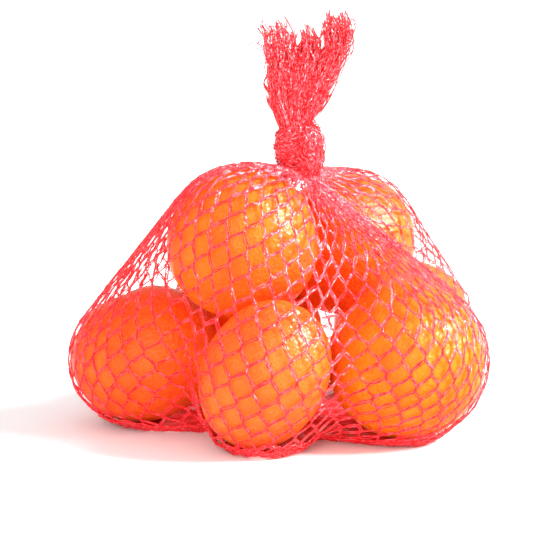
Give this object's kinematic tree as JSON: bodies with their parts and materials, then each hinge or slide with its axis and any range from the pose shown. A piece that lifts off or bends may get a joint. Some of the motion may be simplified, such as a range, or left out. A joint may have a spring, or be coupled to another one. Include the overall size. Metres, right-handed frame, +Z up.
{
  "type": "net bag of clementines",
  "caption": "Knotted net bag of clementines: a lumpy netted mound, flat underneath, drawn into a knot with a ragged tuft standing above it.",
  "frame": {"origin": "on the table, under the middle of the bag's box", "axes": "+Z up, +X to the right and +Y away when the bag is seen from its front, where one clementine sits above the others"},
  "size_m": [0.1591, 0.1547, 0.1598],
  "materials": {
    "net": "knitted net of thin coral-red polyethylene strands, glossy and slightly see-through",
    "peel": "waxy orange citrus peel with fine pores, seen through the net"
  },
  "bodies": {
    "root": {"net_bag": "net"}
  },
  "joints": []
}
